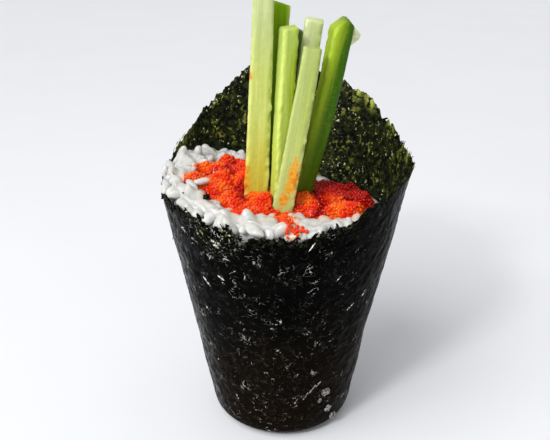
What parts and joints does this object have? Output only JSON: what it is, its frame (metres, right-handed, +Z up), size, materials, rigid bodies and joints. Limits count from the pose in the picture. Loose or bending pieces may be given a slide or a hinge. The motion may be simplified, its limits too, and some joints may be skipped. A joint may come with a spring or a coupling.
{
  "type": "temaki hand roll",
  "caption": "Temaki hand roll standing upright: nori wound into a tapered cup with a tall back collar, packed with sushi rice and topped with fish roe and cucumber sticks.",
  "frame": {"origin": "centre of the flat foot that the roll stands on", "axes": "+Z up the roll, -Y towards the low front of the rim, the tall collar at +Y"},
  "size_m": [0.0718, 0.0752, 0.1312],
  "materials": {
    "nori": "wrinkled dried seaweed, near black with olive lights, semi-gloss",
    "rice": "cooked rice, moist satin",
    "roe": "small glossy translucent eggs",
    "cucumber": "moist cut flesh, dark green skin on some sides"
  },
  "bodies": {
    "root": {"nori_wrap": "nori", "rice_filling": "rice", "roe_topping": "roe", "cucumber_stick_1": "cucumber", "cucumber_stick_2": "cucumber", "cucumber_stick_3": "cucumber", "cucumber_stick_4": "cucumber", "cucumber_stick_5": "cucumber", "cucumber_stick_6": "cucumber", "cucumber_stick_7": "cucumber"}
  },
  "joints": []
}
